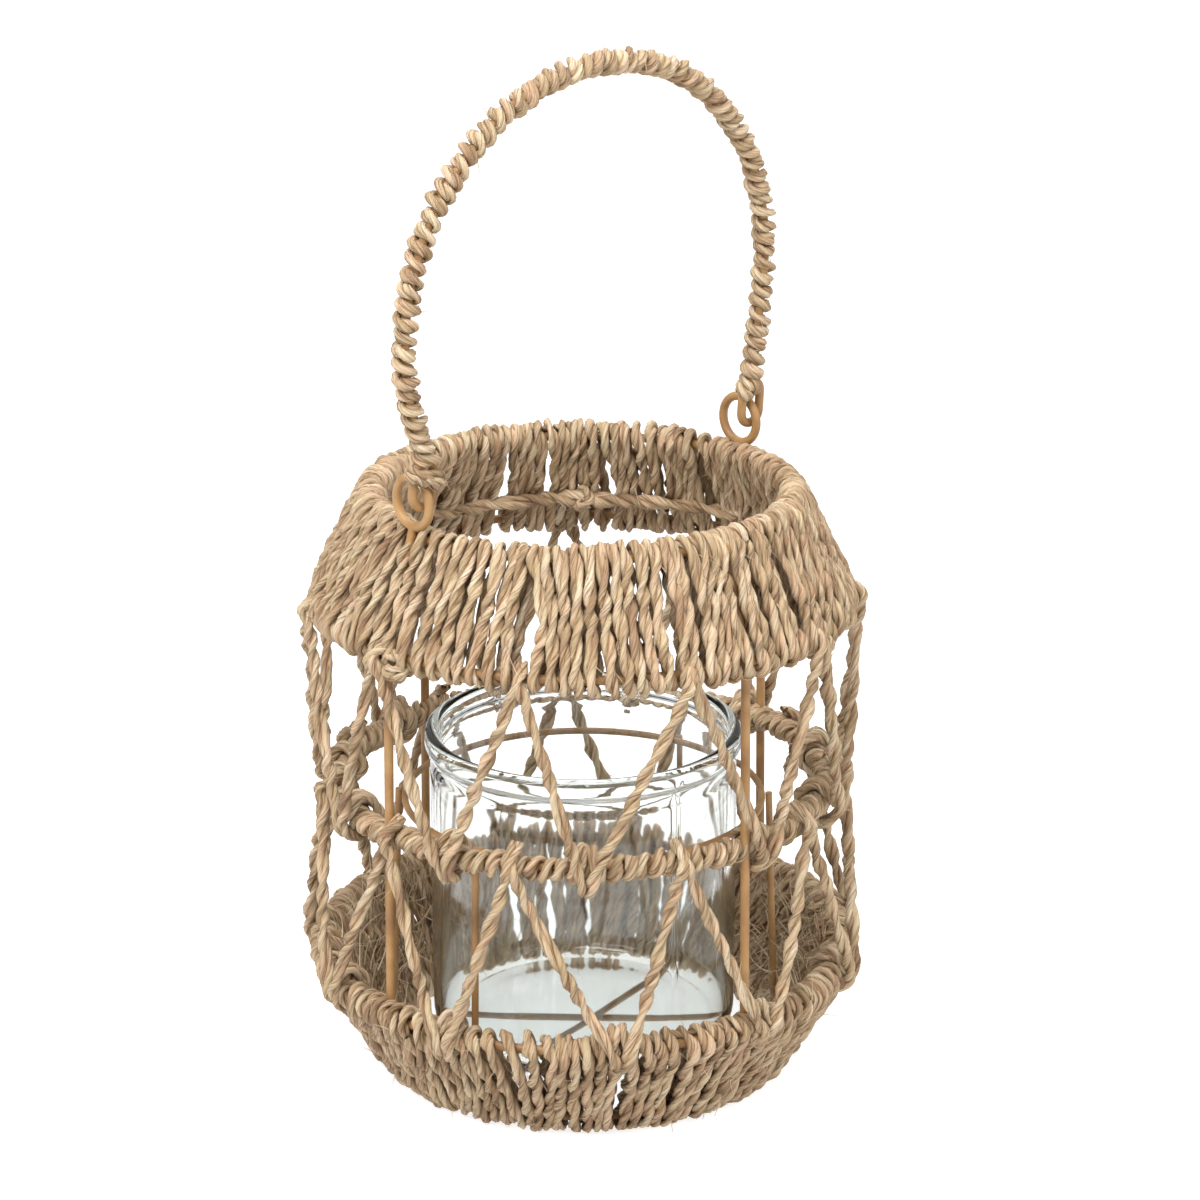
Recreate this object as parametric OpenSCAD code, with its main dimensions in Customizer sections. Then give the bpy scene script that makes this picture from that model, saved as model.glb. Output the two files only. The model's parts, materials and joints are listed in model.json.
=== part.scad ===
// Hanging jar lantern: a barrel-shaped wire frame bound with two-ply twine,
// a swinging bail hooked into two eyes, and a plain glass jar that lifts out.
// Millimetres. Z is up, the floor is z = 0, the bail hinges about X.

/* [Frame rings] */
// radius of the top ring, at the mouth, to the wire's centre
top_ring_r = 78.4; // [76:0.2:80]
// height of the top ring
top_ring_z = 223; // [220:1:226]
// radius of the shoulder ring
shoulder_ring_r = 96.9; // [95.9:0.1:98]
// height of the shoulder ring
shoulder_ring_z = 185; // [180:1:190]
// height of the middle ring, which is welded inside the posts
mid_ring_z = 112; // [106:1:118]
// radius of the lower ring, at the widest part of the bowl
lower_ring_r = 99; // [98:0.1:100]
// height of the lower ring
lower_ring_z = 44; // [40:1:50]
// radius of the base ring the lantern stands on
base_ring_r = 75.5; // [74:0.5:78]
// thickness of the frame wire
wire_d = 3.4; // [3:0.1:3.6]

/* [Posts and eyes] */
// how far round the front post stands from the square position, degrees
front_post_turn = -4; // [-6:1:6]
// radius of the eye on each side post, to the wire's centre
eye_r = 9; // [8.6:0.1:9.2]
// height of the eye centres, which is the bail's hinge line
eye_z = 236.6; // [235:0.2:239]
// distance of each eye centre from the middle of the lantern
eye_x = 80.8; // [79:0.2:82]

/* [Jar cradle] */
// thickness of the cradle wires and of the jar ring
thin_wire_d = 2.6; // [2:0.1:2.8]
// radius of the bare ring round the jar
jar_ring_r = 67.8; // [66:0.2:69]
// height of the bare ring round the jar
jar_ring_z = 104; // [90:1:110]
// direction of the lower cradle wire, degrees from X
low_cradle_turn = 14; // [8:1:30]
// direction of the upper cradle wire, degrees from X
high_cradle_turn = -44; // [-60:1:-30]

/* [Twine] */
// thickness of the two-ply twine
twine_d = 4.8; // [4:0.1:5]
// number of V shapes in each zigzag
zigzag_count = 11; // [9:1:12]
// direction of the first peak of the zigzags, degrees from X
zigzag_turn = 20; // [16:1:24]
// width of the two knots on the shoulder
knot_d = 13; // [10:1:13]

/* [Bail] */
// radius of the crown of the bail, to the wire's centre
bail_r = 87; // [84:0.5:88]
// height of the crown's centre above the hinge line
bail_rise = 63; // [55:1:70]
// how far the crown sits off the middle, towards -X
bail_offset = 4; // [0:1:6]
// lean of the resting bail towards the front, degrees
bail_lean = 4; // [0:1:8]
// thickness of the bail over its twine
bail_wrap_d = 10; // [9:0.5:11]

/* [Glass jar] */
// outer radius of the jar wall
jar_r = 58.2; // [56:0.2:59]
// height of the jar
jar_h = 122.2; // [110:0.2:130]
// thickness of the jar wall
jar_wall = 3.2; // [2.5:0.1:4]
// thickness of the jar's base
jar_floor = 4; // [3:0.5:6]
// how far the rim bead stands out from the wall
rim_bead = 2; // [1:0.1:2.5]

/* [Hidden] */
weld = 0.05;                          // gap left between touching wires
wire_r = wire_d / 2;
thin_r = thin_wire_d / 2;
twine_r = twine_d / 2;
hole_r = wire_r + 0.15;               // room for a wire that passes through twine
space_r = wire_r + 0.7;               // half the space between two layers of twine
wrap_r = wire_r + twine_d + 0.1;      // outside of the twine round a ring
touch = wire_d + weld;                // centre distance of two welded wires
base_ring_z = wrap_r - 0.4;           // the covering is flattened 0.4 at the floor

// the posts run inside the shoulder and lower rings and outside the middle one
post_top_r = shoulder_ring_r - touch;
post_low_r = lower_ring_r - touch;
post_mid_r = post_low_r + (post_top_r - post_low_r)
    * (mid_ring_z - lower_ring_z) / (shoulder_ring_z - lower_ring_z);
mid_ring_r = post_mid_r - touch - 0.1;

// unit vector up the side of the bowl, and the foot of a post beside the base ring
bowl_len = norm([lower_ring_r - base_ring_r, lower_ring_z - base_ring_z]);
bowl_u = [lower_ring_r - base_ring_r, lower_ring_z - base_ring_z] / bowl_len;
post_foot = [base_ring_r - touch * bowl_u[1], base_ring_z + touch * bowl_u[0]];

// where a post passes outside the top ring
neck_lean = atan2(post_top_r - top_ring_r - touch, top_ring_z - shoulder_ring_z);
neck = [top_ring_r + touch * cos(neck_lean), top_ring_z + touch * sin(neck_lean)];

cradle_touch = wire_r + thin_r + weld;
cradle_top_r = jar_ring_r + thin_wire_d + weld;
low_cradle_z = base_ring_z;
high_cradle_z = base_ring_z + thin_wire_d + weld;
jar_z = high_cradle_z + thin_r + weld;

gap_w = 3;                            // width and length of a gap between two turns
gap_len = 16;

loop_r = 4.6;                         // half width of the bail's end loops
loop_len = 7.4;                       // straight part of each loop
loop_top = 2 * loop_r + loop_len;
wrap_start = 2;                       // bare wire between a loop and the twine
bail_set = eye_r - wire_d - 0.4;      // the loops sit this far in front of the eyes' centres

ring_fn = 48;
wire_fn = 14;

wire_color = [0.66, 0.49, 0.28];
twine_color = [0.72, 0.58, 0.42];
cord_color = [0.66, 0.53, 0.38];
glass_color = [0.82, 0.88, 0.86, 0.35];

// which node to draw

// ---- helpers ----

// a point at angle a round the Z axis
function polar(r, a, z) = [r * cos(a), r * sin(a), z];

// a straight round rod from p to q
module rod(p, q, r) {
    v = q - p;
    translate(p)
        rotate([0, acos(v[2] / norm(v)), atan2(v[1], v[0])])
            cylinder(r = r, h = norm(v), $fn = wire_fn);
}

// a bent wire through points, with a ball at each bend
module bent_wire(points, r) {
    for (i = [0 : len(points) - 2]) rod(points[i], points[i + 1], r);
    for (i = [1 : len(points) - 2]) translate(points[i]) sphere(r + 0.08, $fn = wire_fn);
}

// a level ring of round wire
module ring(ring_r, z, r) {
    translate([0, 0, z]) rotate_extrude($fn = ring_fn)
        translate([ring_r, 0]) circle(r, $fn = wire_fn);
}

// part of a ring lying in the XZ plane, from angle a to angle b
module upright_arc(arc_r, r, a, b) {
    rotate([90, 0, 0]) rotate([0, 0, a]) rotate_extrude(angle = b - a, $fn = ring_fn)
        translate([arc_r, 0]) circle(r, $fn = wire_fn);
}

// flat outline of a belt round two ring sections p and q
module belt_outline(p, q, r) {
    v = q - p;
    translate(p) circle(r, $fn = wire_fn + 2);
    translate(q) circle(r, $fn = wire_fn + 2);
    // the straight part is a hair thinner than the circles, so its corners lie inside them
    translate(p) rotate(atan2(v[1], v[0])) translate([0, 0.02 - r]) square([norm(v), 2 * r - 0.04]);
}

// twine looped closely round two rings: two layers with a space between them
module belt(p, q) {
    rotate_extrude($fn = ring_fn) difference() {
        belt_outline(p, q, wrap_r);
        belt_outline(p, q, space_r);
    }
}

// ---- frame wires ----

// one post, from the base ring up the bowl and the side, over the shoulder and
// past the top ring. With an eye it goes on up to the hinge line.
module post_wire(r, eye) {
    bent_wire([[post_foot[0], 0, post_foot[1]], [post_low_r, 0, lower_ring_z + 1],
        [post_top_r, 0, shoulder_ring_z], [neck[0], 0, neck[1]],
        if (eye) [eye_x, 0, eye_z - eye_r]], r);
    if (eye) translate([eye_x, 0, eye_z]) rotate([0, 90, 0]) rotate_extrude($fn = 28)
        translate([eye_r, 0]) circle(r, $fn = wire_fn);
}

// angle and eye of each post, in the order right, rear, left, front
POSTS = [[0, true], [90, false], [180, true], [270 + front_post_turn, false]];

module post(i, r = wire_r) {
    rotate([0, 0, POSTS[i][0]]) post_wire(r, POSTS[i][1]);
}

module top_ring() color(wire_color) ring(top_ring_r, top_ring_z, wire_r);
module shoulder_ring() color(wire_color) ring(shoulder_ring_r, shoulder_ring_z, wire_r);
module mid_ring() color(wire_color) ring(mid_ring_r, mid_ring_z, wire_r);
module lower_ring() color(wire_color) ring(lower_ring_r, lower_ring_z, wire_r);
module base_ring() color(wire_color) ring(base_ring_r, base_ring_z, wire_r);
module jar_ring() color(wire_color) ring(jar_ring_r, jar_ring_z, thin_r);
module post_right() color(wire_color) post(0);
module post_rear() color(wire_color) post(1);
module post_left() color(wire_color) post(2);
module post_front() color(wire_color) post(3);

// ---- jar cradle ----

// a U of thin wire under the jar and up both sides to the jar ring; its corners
// touch the inside of the base ring
module cradle_wire(turn, z) {
    foot = base_ring_r - sqrt(pow(cradle_touch, 2) - pow(z - base_ring_z, 2));
    top = jar_ring_z + thin_r;
    rotate([0, 0, turn]) bent_wire([[-cradle_top_r, 0, top], [-foot, 0, z],
        [foot, 0, z], [cradle_top_r, 0, top]], thin_r);
}

module cradle_wire_low() color(wire_color) cradle_wire(low_cradle_turn, low_cradle_z);
module cradle_wire_high() color(wire_color) cradle_wire(high_cradle_turn, high_cradle_z);

// ---- twine ----

// the shoulder covering, with room for the posts that pass through it
module shoulder_wrap() color(twine_color) difference() {
    belt([top_ring_r, top_ring_z], [shoulder_ring_r, shoulder_ring_z]);
    for (i = [0 : 3]) post(i, hole_r);
}

// the bowl covering, cut flat where it stands on the floor, with gaps between a few
// of its turns; the feet of the posts and of the cradle wires are pressed into it
module bowl_wrap() color(twine_color) difference() {
    belt([base_ring_r, base_ring_z], [lower_ring_r, lower_ring_z]);
    translate([0, 0, -5]) cylinder(r = base_ring_r + 20, h = 5, $fn = ring_fn);
    for (i = [0 : 5]) rotate([0, 0, 35 + 60 * i])
        translate([(base_ring_r + lower_ring_r) / 2, 0, (base_ring_z + lower_ring_z) / 2])
            rotate([0, atan2(bowl_u[0], bowl_u[1]), 0])
                translate([0, -gap_w / 2, -gap_len / 2]) cube([wrap_r + 2, gap_w, gap_len]);
}

// the coil of twine round the middle ring
module mid_wrap() color(twine_color) difference() {
    ring(mid_ring_r, mid_ring_z, wrap_r - 0.3);
    ring(mid_ring_r, mid_ring_z, hole_r);
    for (i = [0 : 3]) post(i, hole_r);
}

// a zigzag of straight strands: peaks at (peak_r, peak_z), valleys at (foot_r, foot_z)
module zigzag(peak_r, peak_z, foot_r, foot_z) {
    step = 360 / zigzag_count;
    for (i = [0 : zigzag_count - 1], side = [-1, 1]) {
        a = zigzag_turn + i * step;
        rod(polar(peak_r, a + side * 1.8, peak_z),
            polar(foot_r, a + side * (step / 2 - 1.9), foot_z), twine_r);
    }
}

// the strands lie on the outside of the posts
strand_mid_r = post_mid_r + wire_r + twine_r + 0.2;
module upper_zigzag() color(twine_color)
    zigzag(shoulder_ring_r + 4.6, shoulder_ring_z - 4, strand_mid_r, mid_ring_z - 1);
module lower_zigzag() color(twine_color)
    zigzag(strand_mid_r, mid_ring_z + 1, lower_ring_r + 4.5, lower_ring_z + 3);

// a loose cord strung inside the shoulder between the right and rear posts
module tie_cord() color(cord_color)
    rotate([0, 0, 47]) translate([-28.3, 0, shoulder_ring_z + 11]) rotate([0, 0, -33])
        rotate_extrude(angle = 66, $fn = ring_fn) translate([109, 0]) circle(twine_r, $fn = wire_fn);

// two bunched knots tied round the outside of the shoulder ring
module shoulder_knots() color(twine_color) difference() {
    for (a = [186, 287]) translate(polar(shoulder_ring_r + 2, a, shoulder_ring_z - 3))
        sphere(d = knot_d, $fn = 20);
    ring(shoulder_ring_r, shoulder_ring_z, hole_r);
}

// ---- bail ----

crown = [-bail_offset, 0, bail_rise];

// angle on the crown where the leg from the loop on one side meets it
function leg_angle(side) =
    let(dx = eye_x + side * bail_offset, dz = bail_rise - loop_top, d = norm([dx, dz]))
    acos(bail_r / d) - atan2(dz, dx);
function leg_top(side) =
    let(a = leg_angle(side)) crown + bail_r * [side * cos(a), 0, sin(a)];
function leg_foot(side, up) =
    let(p = [side * eye_x, 0, loop_top], v = leg_top(side) - p) p + up * v / norm(v);

// places the bail, built with its feet on the X axis, in the resting position: the
// loops lie inside the front of the eyes, and swing about the eyes' centres
module on_hinge()
    translate([0, 0, eye_z]) rotate([bail_lean, 0, 0]) translate([0, -bail_set, 0]) children();

// the crown and both legs; the legs start this far above the loops
module bail_path(r, up) {
    translate(crown) upright_arc(bail_r, r, leg_angle(1), 180 - leg_angle(-1));
    for (side = [-1, 1]) {
        rod(leg_foot(side, up), leg_top(side), r);
        translate(leg_top(side)) sphere(r + 0.08, $fn = wire_fn + 6);
    }
}

// the end loop, standing on the X axis
module bail_loop(r) {
    translate([0, 0, loop_r]) upright_arc(loop_r, r, 180, 360);
    translate([0, 0, loop_r + loop_len]) upright_arc(loop_r, r, 0, 180);
    for (x = [-loop_r, loop_r]) rod([x, 0, loop_r], [x, 0, loop_r + loop_len], r);
}

module bail_wire() color(wire_color) on_hinge() {
    bail_path(wire_r, 0);
    for (side = [-1, 1]) translate([side * eye_x, 0, 0]) bail_loop(wire_r);
}

module bail_wrap() color(twine_color) on_hinge() difference() {
    bail_path(bail_wrap_d / 2, wrap_start);
    bail_path(hole_r, wrap_start - 1);
}

// ---- jar ----

// a round-cornered cup outline from the axis, with corner radius c
module cup_outline(r, h, c) {
    translate([0, c]) square([r, h - c]);
    square([r - c, c]);
    translate([r - c, c]) circle(c, $fn = 28);
}

// half section of the rim bead
module bead_outline() {
    c = (jar_wall + rim_bead) / 2;
    x = jar_r + rim_bead - c;
    for (y = [jar_h - c, jar_h - c - 3]) translate([x, y]) circle(c, $fn = 20);
    translate([x - c, jar_h - c - 3]) square([2 * c, 3]);
}

module glass_jar() color(glass_color) translate([0, 0, jar_z]) rotate_extrude($fn = 60)
    difference() {
        union() {
            cup_outline(jar_r, jar_h - 4, 8);
            bead_outline();
        }
        translate([0, jar_floor]) cup_outline(jar_r - jar_wall, jar_h, 6);
        translate([0, -1]) square([46, 2]);
    }

top_ring();
shoulder_ring();
mid_ring();
lower_ring();
base_ring();
jar_ring();
post_left();
post_right();
post_front();
post_rear();
cradle_wire_low();
cradle_wire_high();
shoulder_wrap();
bowl_wrap();
mid_wrap();
upper_zigzag();
lower_zigzag();
tie_cord();
shoulder_knots();
bail_wire();
bail_wrap();
glass_jar();
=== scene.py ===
import json
import math
import bmesh
import bpy
import numpy as np
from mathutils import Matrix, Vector


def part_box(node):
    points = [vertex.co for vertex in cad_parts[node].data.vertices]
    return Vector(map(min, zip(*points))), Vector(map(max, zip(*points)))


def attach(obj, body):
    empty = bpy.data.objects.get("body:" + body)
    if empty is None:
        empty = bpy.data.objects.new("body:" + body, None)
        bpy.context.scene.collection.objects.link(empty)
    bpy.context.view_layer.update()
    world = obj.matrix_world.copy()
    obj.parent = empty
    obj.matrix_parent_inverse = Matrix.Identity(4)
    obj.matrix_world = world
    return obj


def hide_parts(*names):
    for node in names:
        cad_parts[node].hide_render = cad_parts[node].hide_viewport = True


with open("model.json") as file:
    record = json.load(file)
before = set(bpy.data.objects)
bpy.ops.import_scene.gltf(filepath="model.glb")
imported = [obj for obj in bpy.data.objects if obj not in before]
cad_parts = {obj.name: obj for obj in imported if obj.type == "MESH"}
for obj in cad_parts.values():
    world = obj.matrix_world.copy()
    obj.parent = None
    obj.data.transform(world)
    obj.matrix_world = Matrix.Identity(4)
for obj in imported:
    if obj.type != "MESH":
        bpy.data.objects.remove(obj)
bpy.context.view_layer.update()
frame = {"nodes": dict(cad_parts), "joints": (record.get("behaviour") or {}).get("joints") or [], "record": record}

MM = 0.001
TAU = math.tau

# ---------------------------------------------------------------- sizes from the CAD


def ring_size(node):
    """Radius, height and wire radius of a level ring, in mm."""
    lo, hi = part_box(node)
    wire = (hi.z - lo.z) / 2
    return (hi.x - lo.x) / 2 / MM - wire / MM, (hi.z + lo.z) / 2 / MM, wire / MM


TOP_R, TOP_Z, WIRE = ring_size("top_ring")
SHOULDER_R, SHOULDER_Z, _ = ring_size("shoulder_ring")
MID_R, MID_Z, _ = ring_size("mid_ring")
LOWER_R, LOWER_Z, _ = ring_size("lower_ring")
BASE_R, BASE_Z, _ = ring_size("base_ring")
JAR_LO, JAR_HI = (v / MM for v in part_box("glass_jar"))
HINGE_Z = frame["joints"][0]["pos_m"][2] / MM

TWINE = 2.45                 # radius of the twine, mm
SIDES = 10                   # sides of each ply's mesh
FLOOR_GAP = 0.00005          # least height of twine and fibres above the floor, m

CAMERA_TURN = -42.2          # azimuth of the camera, degrees
CAMERA_RISE = 18.73          # degrees above level
CAMERA_DISTANCE = 1.299      # m
CAMERA_AIM = 0.1817          # height of the point the camera looks at, m
CAMERA_SHIFT = 0.0063        # how far right of the lantern's axis that point is, m
LENS = 104.34                # focal length for a 36 mm sensor, mm
FRONT = math.radians(CAMERA_TURN - 90)

BELT_TURNS = 112             # turns of twine on the shoulder and on the bowl
MID_TURNS = 119              # turns round the middle ring
MID_SHIFT = 1.2              # how far outside its wire the middle ring's coil is centred, mm
POINTS = 11                  # peaks of each zigzag
BAIL_PITCH = 5.25            # from turn to turn along the bail, mm
LOOP_TOP = 16.6              # top of an end loop above its lowest point, mm

JAR_BEAD = 2.0               # how far the rim's bead sticks out, mm
JAR_WALL = 3.2               # mm
JAR_BASE = 4.0               # mm
JAR_SEAM = 36                # direction of the mould seam, degrees right of the middle


def seen(angle):
    """Direction, from +X, of a point this many degrees right of the side facing the camera."""
    return FRONT + math.radians(angle)


# ---------------------------------------------------------------- curves

def smooth(points, step):
    """A Catmull-Rom curve through the points, with points this far apart."""
    p = np.asarray(points, float)
    p = np.vstack([2 * p[0] - p[1], p, 2 * p[-1] - p[-2]])
    t = np.linspace(0, 1, 9)[:-1, None]
    out = []
    for a, b, c, d in zip(p[:-3], p[1:-2], p[2:-1], p[3:]):
        out.append(0.5 * (2 * b + (c - a) * t + (2 * a - 5 * b + 4 * c - d) * t ** 2
                          + (3 * b - a - 3 * c + d) * t ** 3))
    out = np.vstack(out + [p[-2:-1]])
    s = np.r_[0, np.cumsum(np.linalg.norm(np.diff(out, axis=0), axis=1))]
    n = max(4, int(s[-1] / step))
    return np.stack([np.interp(np.linspace(0, s[-1], n), s, out[:, k]) for k in range(3)], -1)


def unit(v):
    return v / np.maximum(np.linalg.norm(v, axis=-1, keepdims=True), 1e-9)


def wander(s, size, length, rng):
    """A slow random curve along s: about this large, changing over about this length."""
    out = np.zeros_like(s)
    for _ in range(5):
        f = TAU / length * rng.uniform(0.4, 1.8)
        out += np.sin(f * s + rng.uniform(0, TAU))
    return out * size / 2.2


def ring_tangents(path):
    """The level direction round the lantern at each point of a path."""
    ang = np.arctan2(path[:, 1], path[:, 0])
    return np.stack([-np.sin(ang), np.cos(ang), 0 * ang], -1)


class Tubes:
    """Collects tubes and makes one mesh object of them."""

    def __init__(self):
        self.co, self.faces, self.fibre, self.tone, self.crease, self.n = [], [], [], [], [], 0

    def add(self, rings, fibre, tone, crease):
        n, sides = rings.shape[:2]
        i = np.arange(n - 1)[:, None] * sides + self.n
        j = np.arange(sides)[None, :]
        k = (j + 1) % sides
        self.faces.append(np.stack([i + j, i + k, i + sides + k, i + sides + j], -1).reshape(-1, 4))
        self.co.append(rings.reshape(-1, 3))
        self.fibre.append(fibre.reshape(-1, 3))
        self.tone.append(np.broadcast_to(tone, (n, sides)).reshape(-1))
        self.crease.append(np.broadcast_to(crease, (n, sides)).reshape(-1))
        self.n += n * sides

    def make(self, name, material, body, replaced=()):
        co, faces = np.vstack(self.co) * MM, np.vstack(self.faces)
        co[:, 2] = np.maximum(co[:, 2], FLOOR_GAP)
        me = bpy.data.meshes.new(name)
        me.vertices.add(len(co))
        me.vertices.foreach_set("co", co.ravel().astype(np.float32))
        me.loops.add(faces.size)
        me.loops.foreach_set("vertex_index", faces.ravel().astype(np.int32))
        me.polygons.add(len(faces))
        me.polygons.foreach_set("loop_start", np.arange(0, faces.size, 4, dtype=np.int32))
        me.polygons.foreach_set("use_smooth", np.ones(len(faces), bool))
        me.update(calc_edges=True)
        a = me.attributes.new("fibre", "FLOAT_VECTOR", "POINT")
        a.data.foreach_set("vector", np.vstack(self.fibre).ravel().astype(np.float32))
        for key, values in (("tone", self.tone), ("crease", self.crease)):
            a = me.attributes.new(key, "FLOAT", "POINT")
            a.data.foreach_set("value", np.concatenate(values).astype(np.float32))
        me.materials.append(material)
        ob = bpy.data.objects.new(name, me)
        bpy.context.scene.collection.objects.link(ob)
        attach(ob, body)
        if replaced:
            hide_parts(*replaced)
        return ob


def lay_twine(tubes, path, across, rng, radius=TWINE, pitch=25.0, fat=0.585, shade=0.5):
    """Two plies twisted round a path. across is a direction at each point, not along the path,
    fat is the radius of a ply as a share of the twine's, and shade sets the twine's tone from 0 dark to 1 pale;
    values below 0.5 are painted shade."""
    step = np.linalg.norm(np.diff(path, axis=0), axis=1)
    s = np.r_[0, np.cumsum(step)] + rng.uniform(0, 200)
    t = unit(np.gradient(path, axis=0))
    n = unit(across - (across * t).sum(1, keepdims=True) * t)
    b = np.cross(t, n)
    twist = TAU * s / pitch + wander(s, 0.9, 45, rng) + rng.uniform(0, TAU)
    grow = radius * (1 + wander(s, 0.09, 22, rng))
    end = np.minimum(s - s[0], s[-1] - s) / 4
    grow = grow * (0.55 + 0.45 * np.clip(end, 0, 1))
    around = np.linspace(0, TAU, SIDES, endpoint=False)[None, :]
    for ply in (0, math.pi):
        a = (twist + ply)[:, None]
        plump = fat + wander(s, 0.05, 13, rng)[:, None]
        away = (grow * 0.435)[:, None]
        # lumps of folded grass that follow the ply
        turn = around + rng.uniform(0, TAU)
        lump = 1
        for size, lobes, wave in ((0.10, 2, 21), (0.08, 3, -13), (0.05, 4, 9)):
            lump = lump + size * np.sin(lobes * turn + TAU * s[:, None] / wave + rng.uniform(0, TAU))
        r = grow[:, None] * plump * lump
        x = away * np.cos(a) + r * np.cos(around + a)
        y = away * np.sin(a) + r * np.sin(around + a)
        rings = path[:, None] + x[..., None] * n[:, None] + y[..., None] * b[:, None]
        lay = around - TAU * s[:, None] / 40
        along = np.broadcast_to(s[:, None], r.shape) + rng.uniform(0, 900)
        fibre = np.stack([r * np.cos(lay), r * np.sin(lay), along], -1)
        # a shade below 0.5 darkens the tone here: painted shade
        tone = (shade + rng.uniform(-0.1, 0.1) + wander(s, 0.17, 40, rng))[:, None]
        # 1 where the two plies press together, 0 on the outside: a mask for painted shade, which darkens the
        # colour where the plies meet
        crease = (0.5 - 0.5 * np.cos(around)) ** 2
        tubes.add(rings, fibre, tone, crease)


def lay_hair(tubes, start, direction, length, rng, curl=0.35, thick=(0.09, 0.2)):
    """One stray fibre, tapering to its end."""
    u = np.linspace(0, 1, 7)[:, None]
    side = unit(np.cross(direction, rng.normal(size=3)))
    path = start + direction * length * u + side * length * rng.uniform(-curl, curl) * u ** 2
    t = unit(np.gradient(path, axis=0))
    a = unit(np.cross(t, side + 0.01))
    b = np.cross(t, a)
    r = rng.uniform(*thick) * (1 - 0.75 * u)
    ang = np.linspace(0, TAU, 4, endpoint=False)[None, :, None]
    rings = path[:, None] + (r * a)[:, None] * np.cos(ang) + (r * b)[:, None] * np.sin(ang)
    fibre = np.broadcast_to(rng.uniform(0, 900, 3), rings.shape)
    tubes.add(rings, fibre, rng.uniform(0.4, 0.95), 0.0)


def hairs(tubes, path, across, count, rng, length=(3, 11)):
    """Stray fibres at random places along a twine."""
    t = unit(np.gradient(path, axis=0))
    for i in rng.integers(2, len(path) - 2, count):
        n = unit(across[i] - (across[i] @ t[i]) * t[i])
        b = np.cross(t[i], n)
        a = rng.uniform(0, TAU)
        out = math.cos(a) * n + math.sin(a) * b
        way = out * rng.uniform(0.25, 1.0) + t[i] * rng.choice([-1, 1]) + rng.normal(size=3) * 0.3
        lay_hair(tubes, path[i] + out * TWINE * 0.8, unit(way), rng.uniform(*length), rng)


# ---------------------------------------------------------------- materials

def nodes_of(name):
    """A new material with its node tree and its Principled shader."""
    m = bpy.data.materials.new(name)
    m.use_nodes = True
    nt = m.node_tree
    nt.nodes.clear()
    out = nt.nodes.new("ShaderNodeOutputMaterial")
    bsdf = nt.nodes.new("ShaderNodeBsdfPrincipled")
    nt.links.new(bsdf.outputs[0], out.inputs[0])
    return m, nt, bsdf


def add(nt, kind, inputs=(), **props):
    """A node with these inputs, each a value or another node's output."""
    n = nt.nodes.new(kind)
    for k, v in props.items():
        setattr(n, k, v)
    for key, v in dict(inputs).items():
        if isinstance(v, bpy.types.NodeSocket):
            nt.links.new(v, n.inputs[key])
        else:
            n.inputs[key].default_value = v
    return n


def ramp(nt, fac, stops):
    """A colour ramp through (position, colour) stops."""
    n = add(nt, "ShaderNodeValToRGB", {"Fac": fac})
    e = n.color_ramp.elements
    while len(e) < len(stops):
        e.new(0.5)
    for el, (pos, col) in zip(e, stops):
        el.position, el.color = pos, (*col, 1)
    return n.outputs[0]


def mix(nt, blend, fac, a, b):
    """Two colours mixed. A Mix node's colours are inputs 6 and 7 and output 2."""
    n = add(nt, "ShaderNodeMix", {0: fac, 6: a, 7: b}, data_type="RGBA", blend_type=blend)
    return n.outputs[2]


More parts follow.
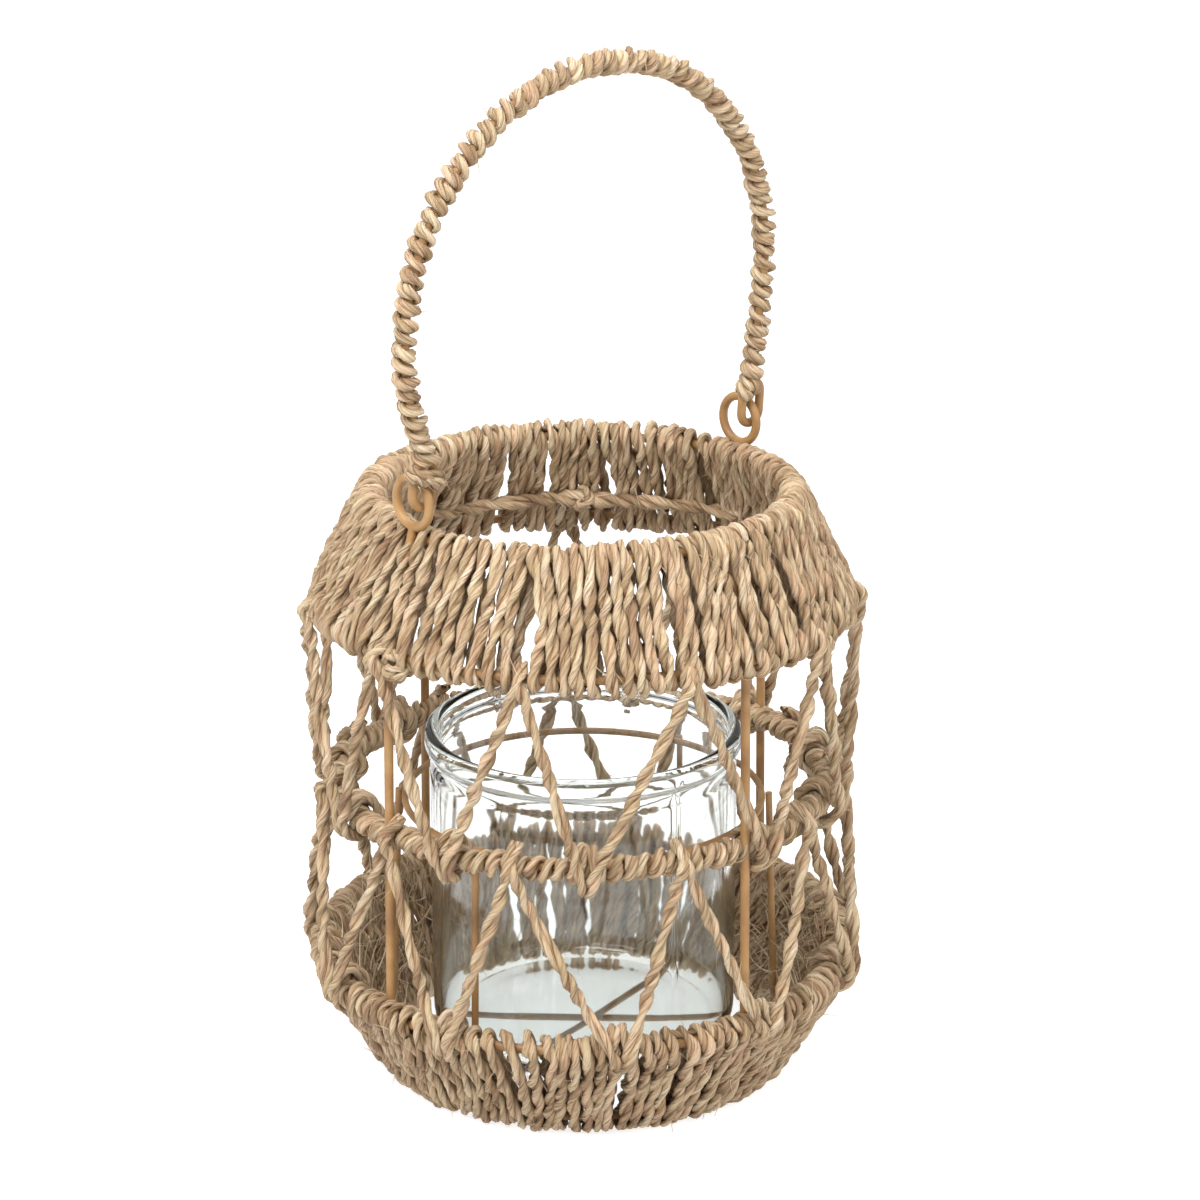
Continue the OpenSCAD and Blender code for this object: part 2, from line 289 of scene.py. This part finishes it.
def twine_material():
    m, nt, bsdf = nodes_of("twine")
    fib = add(nt, "ShaderNodeAttribute", attribute_name="fibre").outputs["Vector"]
    tone = add(nt, "ShaderNodeAttribute", attribute_name="tone").outputs["Fac"]
    crease = add(nt, "ShaderNodeAttribute", attribute_name="crease").outputs["Fac"]

    def noise(scale, detail, rough=0.55):
        v = add(nt, "ShaderNodeVectorMath", {0: fib, 1: scale}, operation="MULTIPLY").outputs[0]
        return add(nt, "ShaderNodeTexNoise", {"Vector": v, "Scale": 1.0, "Detail": detail,
                                              "Roughness": rough}).outputs["Fac"]

    blade = noise((0.7, 0.7, 0.035), 2.0)             # broad blades of grass along the ply
    streak = noise((1.15, 1.15, 0.045), 4.0, 0.75)    # veins
    patch = noise((0.12, 0.12, 0.03), 2.0)            # slow change along the twine
    part_way = (0.55, 0.55, 0.55, 1)
    pick = add(nt, "ShaderNodeMath", {0: blade, 1: tone}, operation="ADD").outputs[0]
    pick = add(nt, "ShaderNodeMath", {0: pick, 1: -0.5}, operation="ADD").outputs[0]
    base = ramp(nt, pick, [(0.14, (0.30, 0.185, 0.105)), (0.34, (0.42, 0.286, 0.172)),
                           (0.52, (0.52, 0.378, 0.245)), (0.70, (0.60, 0.458, 0.315)),
                           (0.90, (0.70, 0.570, 0.425))])
    green = ramp(nt, patch, [(0.40, (0, 0, 0)), (0.62, (1, 1, 1))])
    base = mix(nt, "MIX", mix(nt, "MULTIPLY", 1.0, green, part_way), base,
               mix(nt, "MULTIPLY", 1.0, base, (0.90, 0.965, 0.80, 1)))
    red = ramp(nt, patch, [(0.36, (1, 1, 1)), (0.46, (0, 0, 0))])
    base = mix(nt, "MIX", mix(nt, "MULTIPLY", 1.0, red, part_way), base,
               mix(nt, "MULTIPLY", 1.0, base, (1.04, 0.925, 0.83, 1)))
    vein = ramp(nt, streak, [(0.38, (0.40, 0.33, 0.27)), (0.46, (0.84, 0.81, 0.78)),
                             (0.58, (1.12, 1.13, 1.15))])
    base = mix(nt, "MULTIPLY", 1.0, base, vein)
    # painted shade: the colour is darkened where the two plies press together
    painted_groove_shade = ramp(nt, crease, [(0.25, (1, 1, 1)), (0.8, (0.80, 0.71, 0.62))])
    base = mix(nt, "MULTIPLY", 1.0, base, painted_groove_shade)
    nt.links.new(base, bsdf.inputs["Base Color"])
    bsdf.inputs["Specular IOR Level"].default_value = 0.45
    rough = add(nt, "ShaderNodeMapRange", {"Value": streak, "To Min": 0.5, "To Max": 0.8}).outputs[0]
    nt.links.new(rough, bsdf.inputs["Roughness"])
    height = add(nt, "ShaderNodeMath", {0: streak, 1: blade}, operation="ADD").outputs[0]
    bump = add(nt, "ShaderNodeBump", {"Height": height, "Strength": 0.9, "Distance": 0.0008})
    nt.links.new(bump.outputs[0], bsdf.inputs["Normal"])
    return m


def wire_material():
    m, nt, bsdf = nodes_of("wire_paint")
    where = add(nt, "ShaderNodeTexCoord").outputs["Object"]
    mottle, grain = (
        add(nt, "ShaderNodeTexNoise", {"Vector": where, "Scale": scale, "Detail": detail}).outputs["Fac"]
        for scale, detail in ((70.0, 4.0), (1400.0, 2.0)))
    col = ramp(nt, mottle, [(0.34, (0.235, 0.118, 0.040)), (0.52, (0.33, 0.175, 0.062)),
                            (0.7, (0.42, 0.245, 0.095))])
    nt.links.new(col, bsdf.inputs["Base Color"])
    rough = add(nt, "ShaderNodeMapRange", {"Value": grain, "To Min": 0.38, "To Max": 0.58}).outputs[0]
    nt.links.new(rough, bsdf.inputs["Roughness"])
    bump = add(nt, "ShaderNodeBump", {"Height": grain, "Strength": 0.25, "Distance": 0.0001})
    nt.links.new(bump.outputs[0], bsdf.inputs["Normal"])
    return m


def glass_material():
    m, nt, bsdf = nodes_of("clear_glass")
    where = add(nt, "ShaderNodeTexCoord").outputs["Object"]
    wave = add(nt, "ShaderNodeTexNoise", {"Vector": where, "Scale": 22.0, "Detail": 1.0}).outputs["Fac"]
    tint = ramp(nt, wave, [(0.3, (0.975, 0.992, 0.984)), (0.7, (0.98, 0.995, 0.988))])
    nt.links.new(tint, bsdf.inputs["Base Color"])
    bsdf.inputs["Transmission Weight"].default_value = 1.0
    bsdf.inputs["IOR"].default_value = 1.5
    rough = add(nt, "ShaderNodeMapRange", {"Value": wave, "To Min": 0.02, "To Max": 0.06}).outputs[0]
    nt.links.new(rough, bsdf.inputs["Roughness"])
    bump = add(nt, "ShaderNodeBump", {"Height": wave, "Strength": 0.006, "Distance": 0.002})
    nt.links.new(bump.outputs[0], bsdf.inputs["Normal"])
    # long ways through the glass, at the rim and the base, look grey-green
    depth = add(nt, "ShaderNodeVolumeAbsorption", {"Color": (0.72, 0.83, 0.78, 1), "Density": 32.0})
    nt.links.new(depth.outputs[0], nt.nodes["Material Output"].inputs["Volume"])
    return m


TWINE_MAT = twine_material()
WIRE_MAT = wire_material()
GLASS_MAT = glass_material()

# the wires are the CAD's own
slots = {sub["node"]: sub["material_slot"] for sub in frame["record"]["subparts"]}
for node_name, ob in frame["nodes"].items():
    if slots.get(node_name) == "wire":
        ob.data.materials.clear()
        ob.data.materials.append(WIRE_MAT)

# ---------------------------------------------------------------- belts of twine


def belt_track(ring1, ring2, h):
    """One turn round two ring wires, as ((radius, height), way along, side) points: down the
    outside from ring 1 to ring 2 (side 0), round it, up the inside (side 1), round ring 1."""
    top, low = np.array(ring1), np.array(ring2)
    d = low - top
    d = d / np.linalg.norm(d)
    out = np.array([-d[1], d[0]]) if low[1] < top[1] else np.array([d[1], -d[0]])
    pts = []
    for u in np.linspace(0.03, 0.97, 6):
        pts.append((top * (1 - u) + low * u + out * h, u, 0))
    for a in np.radians((45, 90, 135)):
        pts.append((low + h * (math.cos(a) * out + math.sin(a) * d), 1.0, a / math.pi))
    for u in np.linspace(0.97, 0.03, 6):
        pts.append((top * (1 - u) + low * u - out * h, u, 1))
    for a in np.radians((45, 90, 135)):
        pts.append((top + h * (-math.cos(a) * out - math.sin(a) * d), 0.0, 1 - a / math.pi))
    return pts


def spread(count, rng, rough):
    """Unevenly spaced directions of the turns round a ring."""
    at = np.cumsum(np.clip(1 + rough * rng.normal(size=count), 0.6, 1.6))
    return at / at[-1] * TAU


def part(at, gaps, reach=9.0):
    """Moves directions apart on both sides of each gap, given as (direction, degrees)."""
    moved = at.copy()
    for where, width in gaps:
        d = (at - where + math.pi) % TAU - math.pi
        moved += np.sign(d) * np.exp(-np.abs(d) / math.radians(reach)) * math.radians(width) / 2
    return moved


def wind_belt(name, ring1, ring2, replaced, rng, gaps, slack, lean, low, fuzz, shade, flat=(),
              pieces=4):
    """Turns of twine round two rings, each given as (radius, height). gaps are (direction, width
    at ring 1, width at ring 2, width between), slack is the widest random gap and lean is how far
    the bunches of turns lean, all in degrees. The larger low is, the nearer to ring 2 the gaps are
    widest. The turns lie flat within each (direction, reach) of flat, in degrees from +X. fuzz is
    the number of stray fibres on each of the pieces."""
    base = spread(BELT_TURNS, rng, 0.17)
    bunch = sum(np.sin(k * base + rng.uniform(0, TAU)) for k in (5, 8, 13, 17, 22)) / 2.2
    gaps = [(seen(a), *widths) for a, *widths in gaps]
    gaps += [(rng.uniform(0, TAU), rng.uniform(-0.2, 0.6), rng.uniform(-0.2, 0.6),
              rng.uniform(0.2, slack)) for _ in range(22)]
    a1 = part(base, [(g[0], g[1]) for g in gaps]) - np.radians(lean / 2) * bunch
    a2 = part(base, [(g[0], g[2]) for g in gaps]) + np.radians(lean / 2) * bunch
    open_by = part(base, [(g[0], g[3]) for g in gaps], reach=5.0) - base
    mean_step = TAU / BELT_TURNS
    tracks = [[] for _ in range(pieces)]
    for i in range(BELT_TURNS):
        j = (i + 1) % BELT_TURNS
        wrap = TAU if j == 0 else 0
        next1, next2 = a1[j] + wrap, a2[j] + wrap
        # 0 where the turn lies flat, 1 where it is free
        free = 1.0
        for way, reach in flat:
            off = abs((math.degrees(a1[i]) - way + 180) % 360 - 180)
            free = min(free, np.clip((off - reach) / 6, 0, 1))
        h = WIRE + TWINE * (0.66 + (0.20 + rng.uniform(0, 0.34)) * free)
        stray = 0.06 + 0.14 * free
        # the inside strand stays near its own turn, so that wide gaps stay open
        inner1 = a1[i] + 0.5 * min(next1 - a1[i], 1.1 * mean_step)
        inner2 = a2[i] + 0.38 * min(next2 - a2[i], 1.1 * mean_step)
        for (radius, height), u, side in belt_track(ring1, ring2, h):
            if u == 1.0:
                ang = a2[i] * (1 - side) + inner2 * side
            elif u == 0.0:
                ang = inner1 * side + next1 * (1 - side)
            elif side == 0:
                ang = a1[i] * (1 - u) + a2[i] * u
            else:
                ang = inner1 * (1 - u) + inner2 * u
            ang += open_by[i] * math.sin(math.pi * u ** low) + rng.normal() * mean_step * 0.035
            radius = radius + rng.normal() * stray
            height = height + rng.normal() * stray
            tracks[i * pieces // BELT_TURNS].append((ang, radius, height))
    for k, track in enumerate(tracks):
        if k + 1 < pieces:
            track = track + tracks[k + 1][:1]
        ang, radius, height = np.array(track).T
        path = smooth(np.stack([radius * np.cos(ang), radius * np.sin(ang), height], -1), 1.35)
        across = ring_tangents(path)
        tubes = Tubes()
        lay_twine(tubes, path, across, rng, shade=shade)
        hairs(tubes, path, across, fuzz, rng)
        tubes.make(f"{name}_{k}", TWINE_MAT, "frame", replaced if k == 0 else ())


# gaps that stand out, as wind_belt takes them, by degrees right of the side facing the camera
SHOULDER_GAPS = [(-11.5, 0.5, 1.0, 4.8), (19, 0.6, 0.9, 3.0), (43, 0.4, 0.8, 2.6),
                 (53, 1.2, 0.6, 3.2), (61, 0.6, 1.0, 2.2), (-25, 0.4, 0.6, 1.6),
                 (-62, 0.2, 0.6, 1.0), (172, 1.0, 1.4, 3.8), (-172, 0.5, 1.0, 2.2),
                 (144, 1.6, 1.0, 3.6), (-159.5, 0.5, 1.4, 2.8), (-135, 0.5, 1.0, 1.8),
                 (110, 0.5, 1.0, 1.8), (157, 0.5, 0.8, 1.8), (-148, 0.5, 0.5, 1.3),
                 (180, 0, 0.4, 1.4)]
BOWL_GAPS = [(8, 0.3, 1.0, 2.0), (-36, 0.2, 1.0, 1.6), (31, 0.2, 0.8, 1.8), (-12, 0.1, 0.5, 0.9),
             (20, 0.2, 0.6, 1.4), (-160, 0.8, 1.2, 2.0), (-171, 0.5, 1.0, 2.0),
             (178, 0.8, 1.2, 2.2), (165, 0.4, 0.8, 1.8), (-70, 0.2, 0.8, 1.2),
             (60, 0.2, 0.8, 1.2)]
# the shoulder lies flat by the eyes, where the lowered bail rests over it
wind_belt("shoulder_twine", (TOP_R, TOP_Z), (SHOULDER_R, SHOULDER_Z), ["shoulder_wrap"],
          np.random.default_rng(5), SHOULDER_GAPS, slack=2.2, lean=1.7, low=1.1, fuzz=90,
          shade=0.5, flat=[(-17, 24), (197, 24)])
# the bowl's twine is painted darker, as painted shade on a belt that faces the floor
wind_belt("bowl_twine", (LOWER_R, LOWER_Z), (BASE_R, BASE_Z), ["bowl_wrap"],
          np.random.default_rng(6), BOWL_GAPS, slack=1.2, lean=1.8, low=1.7, fuzz=200,
          shade=0.43)


def tangle():
    """Loose fibres on the inside of the bowl, to the left and the right of the jar."""
    rng = np.random.default_rng(31)
    tubes = Tubes()
    for _ in range(420):
        a = seen(rng.choice([-108, 102]) + rng.normal() * 17)
        u = rng.uniform(0.25, 1.05)
        r = BASE_R * (1 - u) + LOWER_R * u - WIRE - 2 * TWINE
        z = BASE_Z * (1 - u) + LOWER_Z * u + 2.0
        inward = np.array([-math.cos(a), -math.sin(a), 0.45])
        level = np.array([-math.sin(a), math.cos(a), 0])
        way = inward * rng.uniform(0.0, 0.35) + level * rng.normal() + [0, 0, rng.normal() * 0.8]
        start = np.array([r * math.cos(a), r * math.sin(a), z])
        lay_hair(tubes, start, unit(way), rng.uniform(7, 20), rng, curl=0.6, thick=(0.16, 0.42))
    tubes.make("bowl_fibres", TWINE_MAT, "frame")


tangle()

# ---------------------------------------------------------------- coils and strands


def coil(tubes, centre, side, up, turns, h, rng, hand=1, radius=TWINE, pitch=22.0, hair=0,
         loose=0.7, fat=0.585, rough=0.3):
    """Twine wound round a centre line given with two directions across it. h is the coil's radius
    along the line, loose and rough make its spacing and its radius uneven, and hair is the number
    of stray fibres."""
    n = int(turns * 14)
    u = np.linspace(0, len(centre) - 1, n)

    def at(v):
        return np.stack([np.interp(u, np.arange(len(v)), v[:, k]) for k in range(3)], -1)

    phase = TAU * turns * np.linspace(0, 1, n)
    phase = (phase + wander(np.linspace(0, turns * 6, n), loose, 30, rng))[:, None]
    away = np.interp(u, np.arange(len(centre)), h)
    away = (away + wander(np.linspace(0, turns * 20, n), rough, 40, rng))[:, None]
    c = at(centre)
    pts = c + away * (np.cos(phase) * at(side) + hand * np.sin(phase) * at(up))
    path = smooth(pts[::2], 1.2)
    mid = smooth(c[::2], 1.2)
    k = np.linspace(0, len(mid) - 1, len(path))
    mid = np.stack([np.interp(k, np.arange(len(mid)), mid[:, q]) for q in range(3)], -1)
    across = path - mid
    lay_twine(tubes, path, across, rng, radius=radius, pitch=pitch, fat=fat)
    hairs(tubes, path, across, hair, rng)


def mid_coil():
    rng = np.random.default_rng(9)
    a = np.linspace(0, TAU, 400) + 0.3
    flat = np.stack([np.cos(a), np.sin(a), 0 * a], -1)
    up = np.broadcast_to([0, 0, 1.0], flat.shape)
    r = MID_R + MID_SHIFT + wander(a * 90, 0.5, 60, rng)
    z = MID_Z + wander(a * 90, 0.4, 70, rng)
    centre = flat * r[:, None] + up * z[:, None]
    tubes = Tubes()
    coil(tubes, centre, flat, up, MID_TURNS, np.full(len(a), WIRE + 1.15), rng, radius=2.5, hair=70)
    tubes.make("mid_coil", TWINE_MAT, "frame", ["mid_wrap"])


mid_coil()


def zigzag(name, peaks, valleys, peak, valley, replaced, rng):
    """Strands between two rings. peaks and valleys are directions in order round the lantern.
    peak and valley are the (radius, height, half thickness) of the rings with their coverings."""
    tubes = Tubes()
    n = len(peaks)

    def polar(r, a, z):
        return np.array([r * math.cos(a), r * math.sin(a), z])

    def strand(a, b):
        """From the upper ring at angle a to the lower ring at angle b, hooked round both."""
        (r1, z1, h1), (r2, z2, h2) = peak, valley
        k = math.radians(1.7) * (1 if b > a else -1)
        pts = [polar(r1 - 1, a - k * 1.2, z1 + h1 + 2), polar(r1 + h1 + 1.2, a - k * 0.6, z1 + 2),
               polar(r1 + h1 + 0.6, a + k * 0.1, z1 - 4)]
        for u in np.linspace(0.12, 0.9, 5):
            w = rng.normal(size=2) * 0.35
            pts.append(polar((r1 + h1) * (1 - u) + (r2 + h2 + 1.6) * u + w[0],
                             a * (1 - u) + b * u, (z1 - 4) * (1 - u) + (z2 + 1) * u + w[1]))
        pts += [polar(r2 + h2 + 1.4, b + k * 0.25, z2 - 2), polar(r2 + 1, b + k * 0.7, z2 - h2 - 1.4),
                polar(r2 - h2 - 0.8, b + k * 1.1, z2), polar(r2, b + k * 1.5, z2 + h2 + 1.2),
                polar(r2 + h2 + 0.6, b + k * 1.9, z2 + 0.5)]
        path = smooth(pts, 1.2)
        across = ring_tangents(path)
        lay_twine(tubes, path, across, rng, pitch=24)
        hairs(tubes, path, across, 4, rng)

    for i in range(n):
        j = (i + 1) % n
        wrap = TAU if j == 0 else 0
        strand(peaks[i] + math.radians(1.2), valleys[i] - math.radians(1.6))
        strand(peaks[j] + wrap - math.radians(1.2), valleys[i] + math.radians(1.6))
    tubes.make(name, TWINE_MAT, "frame", replaced)


def round_the_lantern(front):
    """The directions chosen for the front, and the rest spaced evenly behind, POINTS in all."""
    rest = POINTS - len(front)
    step = (360 - (front[-1] - front[0])) / (rest + 1)
    behind = [front[-1] + step * (k + 1) for k in range(rest)]
    return np.array([seen(v) for v in front + behind])


MID_COVER = (MID_R + MID_SHIFT, MID_Z, WIRE + TWINE * 2.0)
zigzag("upper_strands", round_the_lantern([-80, -45.5, -12.5, 21.8, 56, 89]),
       round_the_lantern([-63, -30, 1.0, 41.5, 72]),
       (SHOULDER_R, SHOULDER_Z - 2, WIRE + TWINE * 1.6), MID_COVER,
       ["upper_zigzag"], np.random.default_rng(12))
zigzag("lower_strands", round_the_lantern([-79, -45.8, -14.8, 21.5, 56.5, 89]),
       round_the_lantern([-62, -28.5, 7.5, 39.5, 72]),
       MID_COVER, (LOWER_R, LOWER_Z + 1, WIRE + TWINE * 1.7),
       ["lower_zigzag"], np.random.default_rng(13))


def knot(tubes, at, size, rng, turns=3.2):
    """A small ball of twine."""
    t = np.linspace(0, TAU * turns, int(14 * turns))
    tip = rng.uniform(0.5, 1.0)
    tilt = tip * t * 0.37
    pts = np.stack([np.cos(t) * np.cos(tilt), np.sin(t), np.cos(t) * np.sin(tilt)], -1)
    path = smooth(at + pts * size + rng.normal(size=pts.shape) * 0.3, 1.1)
    lay_twine(tubes, path, path - at, rng, radius=TWINE * 0.95, pitch=14)


def inner_cord():
    """The loose cord inside the shoulder, drawn inwards and up between its two ends."""
    rng = np.random.default_rng(17)
    lo, hi = (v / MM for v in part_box("tie_cord"))
    first, last, reach, sag = 3, 93, 88.5, 7.5
    pts = []
    for a in np.linspace(first, last, 10):
        bow = math.sin(math.radians((a - first) * 2)) if a < last else 0
        r = reach - sag * bow ** 0.7
        z = (lo.z + hi.z) / 2 - 1 + 1.8 * bow + rng.normal() * 0.4
        a = math.radians(a)
        pts.append([r * math.cos(a), r * math.sin(a), z])
    path = smooth(pts, 1.3)
    up = np.broadcast_to([0, 0, 1.0], path.shape)
    tubes = Tubes()
    # the cord is painted darker, as painted shade inside the shoulder
    lay_twine(tubes, path, up, rng, radius=TWINE * 1.25, pitch=24, shade=0.36)
    hairs(tubes, path, up, 14, rng, length=(4, 12))
    # the knot near its middle
    knot(tubes, path[len(path) // 2], 3.4, rng, turns=1.6)
    tubes.make("inner_cord", TWINE_MAT, "frame", ["tie_cord"])


inner_cord()


def shoulder_knots():
    rng = np.random.default_rng(19)
    tubes = Tubes()
    co = np.array([v.co for v in frame["nodes"]["shoulder_knots"].data.vertices]) / MM
    # the two knots lie either side of this line across the lantern
    for ball in (co[co[:, 1] > -50], co[co[:, 1] <= -50]):
        knot(tubes, (ball.min(0) + ball.max(0)) / 2, 4.0, rng)
    tubes.make("shoulder_bunches", TWINE_MAT, "frame", ["shoulder_knots"])


shoulder_knots()

# ---------------------------------------------------------------- bail


def bail_twine():
    rng = np.random.default_rng(23)
    hook = next(m for m in frame["record"]["mounts"] if m["name"] == "hanging_point")
    lean = math.atan2(-hook["axis"][1], hook["axis"][2])
    # the bail stands in a leaning plane: x and high lie in it, front is its offset from the hinge
    co = np.array([v.co for v in frame["nodes"]["bail_wire"].data.vertices]) / MM
    y, z = co[:, 1], co[:, 2] - HINGE_Z
    front = (y * math.cos(lean) + z * math.sin(lean)).mean()
    high = z * math.cos(lean) - y * math.sin(lean)
    crown_x = hook["pos_m"][0] / MM
    r = crown_x - co[:, 0].min() - WIRE
    rise = high.max() - WIRE - r
    loop = co[(co[:, 0] > 0) & (high < LOOP_TOP / 2), 0]
    eye, half = (loop.max() + loop.min()) / 2, (loop.max() - loop.min()) / 2 - WIRE
    c, s = math.cos(lean), math.sin(lean)
    turn = np.array([[1, 0, 0], [0, c, -s], [0, s, c]])

    def placed(v):
        return (np.asarray(v) + [0, front, 0]) @ turn.T + [0, 0, HINGE_Z]

    def tangent(side):
        """Where the crown's arc meets the straight run down to the loop on this side."""
        dx, dz = eye - side * crown_x, rise - LOOP_TOP
        return math.acos(r / math.hypot(dx, dz)) - math.atan2(dz, dx)

    arc = [(crown_x + r * math.cos(a), rise + r * math.sin(a))
           for a in np.linspace(tangent(1), math.pi - tangent(-1), 60)]
    # the twine starts round one side of the right loop and ends round both sides of the left one
    line = [(eye - half, 10.8), (eye - half * 0.7, 14.5), (eye - 0.4, 19.5), *arc,
            (-eye, LOOP_TOP + 3), (-eye, 13.5), (-eye, 10.2)]
    pts = smooth([(x, 0, v) for x, v in line], 2.0)
    t = unit(np.gradient(pts, axis=0))
    side = np.broadcast_to([0, 1.0, 0], pts.shape)
    wide = np.where(pts[:, 0] < 0, 1 + 1.35 * np.clip((LOOP_TOP + 3.5 - pts[:, 2]) / 6, 0, 1), 1.0)
    inward = np.cross(side, t) * wide[:, None]
    length = np.linalg.norm(np.diff(pts, axis=0), axis=1).sum()
    tubes = Tubes()
    coil(tubes, placed(pts), inward @ turn.T, side @ turn.T, length / BAIL_PITCH,
         np.full(len(pts), WIRE + 0.85), rng, hand=-1, radius=2.25, pitch=19, hair=70, loose=0.4,
         fat=0.66, rough=0.15)
    # the loose end, drawn across the front of the left loop
    end = [(-8.5, -0.5, 14), (-7.5, -2.8, 12.6), (-3, -3.7, 10.8), (2.5, -3.7, 9.4), (7, -2.8, 8.0),
           (9.3, -0.8, 7.3)]
    path = smooth(placed(np.array(end) + [-eye, 0, 0]), 1.2)
    up = np.broadcast_to([0, 0, 1.0], path.shape)
    lay_twine(tubes, path, up, rng, radius=1.9, pitch=13)
    hairs(tubes, path, up, 14, rng, length=(2, 6))
    tubes.make("bail_twine", TWINE_MAT, "bail", ["bail_wrap"])


bail_twine()

# ---------------------------------------------------------------- jar


def jar():
    """A profile turned about the axis, with a faint mould seam and slightly out of round."""
    h = JAR_HI.z - JAR_LO.z
    r = (JAR_HI.x - JAR_LO.x) / 2 - JAR_BEAD
    inner = r - JAR_WALL

    def arc(cx, cz, rad, a0, a1, n):
        return [(cx + rad * math.cos(a), cz + rad * math.sin(a))
                for a in np.radians(np.linspace(a0, a1, n))]

    outside = [(0, 0.5), (30, 0.4), (44, 0.2), *arc(r - 8, 8.1, 8, -85, 0, 12),
               (r, 30), (r, 60), (r, 90), (r, h - 16), (r - 0.1, h - 14), (r - 0.5, h - 12.2),
               (r - 0.35, h - 10.4), *arc(r - 0.6, h - 5.6, 2.6, -75, 0, 6)]
    rim = [(r + JAR_BEAD, h - 4), *arc(r - 0.6, h - 2.6, 2.6, 0, 180, 14)]
    inside = [(inner, h - 6), (inner, h - 9), (inner - 0.1, h - 20), (inner, 60), (inner, 24),
              *arc(inner - 8, JAR_BASE + 8, 8, 0, -85, 10), (30, JAR_BASE - 0.3),
              (0, JAR_BASE - 0.6)]
    profile = outside + rim + inside
    n = 360
    a = np.arange(n) / n * TAU
    # the mould seam runs down both sides of the wall
    off = np.angle(np.exp(2j * (a - seen(JAR_SEAM)))) / 2
    seam = 0.22 * np.exp(-(off / 0.012) ** 2)
    oval = 0.12 * np.sin(2 * a + 0.6)
    rings = []
    for k, (radius, z) in enumerate(profile):
        out = radius + (oval if radius > 5 else 0)
        if k < len(outside) and 5 < z < h - 4 and radius > r - 1:
            out = out + seam
        rings.append(np.stack([out * np.cos(a), out * np.sin(a), np.full(n, z + JAR_LO.z)], -1))
    verts = np.vstack(rings) * MM
    faces = [(k * n + i, k * n + j, (k + 1) * n + j, (k + 1) * n + i)
             for k in range(len(profile) - 1) for i, j in zip(range(n), [*range(1, n), 0])]
    me = bpy.data.meshes.new("jar_glass")
    me.from_pydata(verts.tolist(), [], faces)
    me.polygons.foreach_set("use_smooth", [True] * len(me.polygons))
    me.update()
    bm = bmesh.new()
    bm.from_mesh(me)
    bmesh.ops.remove_doubles(bm, verts=bm.verts, dist=1e-7)
    bmesh.ops.recalc_face_normals(bm, faces=bm.faces)
    bm.to_mesh(me)
    bm.free()
    me.materials.append(GLASS_MAT)
    ob = bpy.data.objects.new("jar_glass", me)
    bpy.context.scene.collection.objects.link(ob)
    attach(ob, "jar")
    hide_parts("glass_jar")


jar()

# ---------------------------------------------------------------- floor, light, camera


def floor():
    m, nt, bsdf = nodes_of("floor_white")
    where = add(nt, "ShaderNodeTexCoord").outputs["Object"]
    speck = add(nt, "ShaderNodeTexNoise", {"Vector": where, "Scale": 9.0, "Detail": 3.0}).outputs["Fac"]
    pale = ramp(nt, speck, [(0.3, (0.37, 0.37, 0.37)), (0.7, (0.40, 0.40, 0.40))])
    nt.links.new(pale, bsdf.inputs["Base Color"])
    bsdf.inputs["Roughness"].default_value = 0.9
    bsdf.inputs["Specular IOR Level"].default_value = 0.1
    bsdf.inputs["Emission Color"].default_value = (1, 1, 1, 1)
    bsdf.inputs["Emission Strength"].default_value = 0.8
    me = bpy.data.meshes.new("studio_floor")
    half = 6.0
    corners = [(-half, -half, 0), (half, -half, 0), (half, half, 0), (-half, half, 0)]
    me.from_pydata(corners, [], [(0, 1, 2, 3)])
    me.materials.append(m)
    ob = bpy.data.objects.new("studio_floor", me)
    bpy.context.scene.collection.objects.link(ob)


floor()

world = bpy.data.worlds.new("studio")
bpy.context.scene.world = world
world.use_nodes = True
world.node_tree.nodes["Background"].inputs[0].default_value = (1.0, 1.0, 1.0, 1)
world.node_tree.nodes["Background"].inputs[1].default_value = 0.55


def softbox(name, turn, height, distance, size, power):
    """A square area light aimed at the middle of the lantern. turn is degrees right of the side
    facing the camera and height is degrees above level."""
    light = bpy.data.lights.new(name, "AREA")
    light.shape, light.size, light.energy = "SQUARE", size, power
    ob = bpy.data.objects.new(name, light)
    a, e = seen(turn), math.radians(height)
    aim = Vector((0, 0, 0.16))
    out = Vector((math.cos(a) * math.cos(e), math.sin(a) * math.cos(e), math.sin(e)))
    ob.location = aim + out * distance
    ob.rotation_euler = (aim - ob.location).to_track_quat("-Z", "Y").to_euler()
    bpy.context.scene.collection.objects.link(ob)


softbox("key", -30, 55, 1.7, 1.1, 36)
softbox("fill", 55, 38, 1.9, 1.3, 15)
softbox("back", 175, 60, 1.9, 1.3, 20)

cam_data = bpy.data.cameras.new("camera")
cam = bpy.data.objects.new("camera", cam_data)
bpy.context.scene.collection.objects.link(cam)
turn, rise = math.radians(CAMERA_TURN), math.radians(CAMERA_RISE)
right = Vector((math.cos(turn), math.sin(turn), 0))
back = Vector((math.sin(turn) * math.cos(rise), -math.cos(turn) * math.cos(rise), math.sin(rise)))
cam.location = Vector((0, 0, CAMERA_AIM)) + right * CAMERA_SHIFT + back * CAMERA_DISTANCE
cam.rotation_euler = (-back).to_track_quat("-Z", "Y").to_euler()
cam_data.sensor_width = 36
cam_data.lens = LENS
bpy.context.scene.camera = cam
bpy.context.scene.view_settings.view_transform = "Standard"
